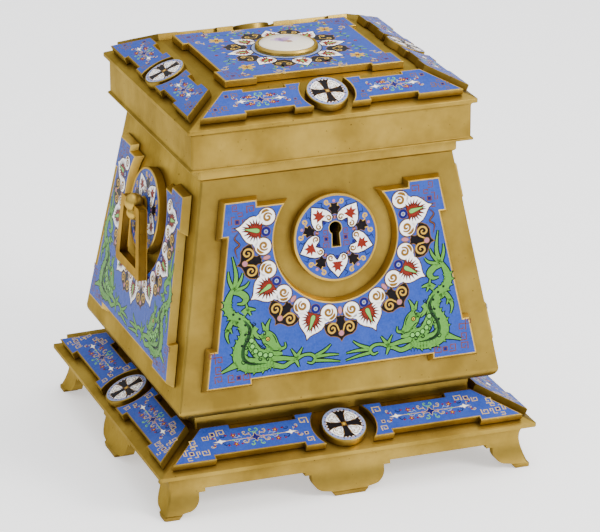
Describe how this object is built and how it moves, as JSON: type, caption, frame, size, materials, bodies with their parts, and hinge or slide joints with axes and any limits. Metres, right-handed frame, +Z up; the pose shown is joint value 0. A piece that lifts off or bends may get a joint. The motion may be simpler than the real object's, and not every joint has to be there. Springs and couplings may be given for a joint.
{
  "type": "reliquary casket",
  "caption": "Tapering gilt bronze casket with enamel fields, raised medallions, hipped lift-off lid, footed base and drop handles at its sides.",
  "frame": {"origin": "on the ground under the middle of the casket", "axes": "+Z up, the front with the keyhole faces -Y, the handles are at -X and +X"},
  "size_m": [0.25, 0.2362, 0.2639],
  "materials": {
    "gilt_bronze": "matt gilding, brushed and slightly worn",
    "blue_enamel": "glossy blue enamel fired on gilt bronze, with coloured ornament",
    "white_enamel": "glossy white enamel fired on gilt bronze, with a black cross",
    "cream_enamel": "glossy cream plaque with a small lilac spray"
  },
  "bodies": {
    "root": {"base": "gilt_bronze", "plinth_block": "gilt_bronze", "casket_body": "gilt_bronze", "lid": "gilt_bronze", "field_panel_front": "blue_enamel", "roundel_front": "blue_enamel", "base_panel_front_left": "blue_enamel", "lid_panel_front_left": "blue_enamel", "base_panel_front_right": "blue_enamel", "lid_panel_front_right": "blue_enamel", "base_medallion_front": "white_enamel", "lid_medallion_front": "white_enamel", "field_panel_right": "blue_enamel", "roundel_right": "blue_enamel", "base_panel_right_left": "blue_enamel", "lid_panel_right_left": "blue_enamel", "base_panel_right_right": "blue_enamel", "lid_panel_right_right": "blue_enamel", "base_medallion_right": "white_enamel", "lid_medallion_right": "white_enamel", "field_panel_back": "blue_enamel", "roundel_back": "blue_enamel", "base_panel_back_left": "blue_enamel", "lid_panel_back_left": "blue_enamel", "base_panel_back_right": "blue_enamel", "lid_panel_back_right": "blue_enamel", "base_medallion_back": "white_enamel", "lid_medallion_back": "white_enamel", "field_panel_left": "blue_enamel", "roundel_left": "blue_enamel", "base_panel_left_left": "blue_enamel", "lid_panel_left_left": "blue_enamel", "base_panel_left_right": "blue_enamel", "lid_panel_left_right": "blue_enamel", "base_medallion_left": "white_enamel", "lid_medallion_left": "white_enamel", "handle_post_left": "gilt_bronze", "handle_post_right": "gilt_bronze", "top_plate": "blue_enamel", "top_medallion_ring": "gilt_bronze", "top_plaque": "cream_enamel"},
    "left_handle": {"handle_left": "gilt_bronze"},
    "right_handle": {"handle_right": "gilt_bronze"}
  },
  "joints": [
    {"name": "left_handle_hinge", "type": "hinge", "parent": "root", "child": "left_handle", "pos_m": [-0.1022, 0, 0.16562], "axis": [0, 1, 0], "range_deg": [0, 165]},
    {"name": "right_handle_hinge", "type": "hinge", "parent": "root", "child": "right_handle", "pos_m": [0.1022, 0, 0.16562], "axis": [0, -1, 0], "range_deg": [0, 165]}
  ]
}
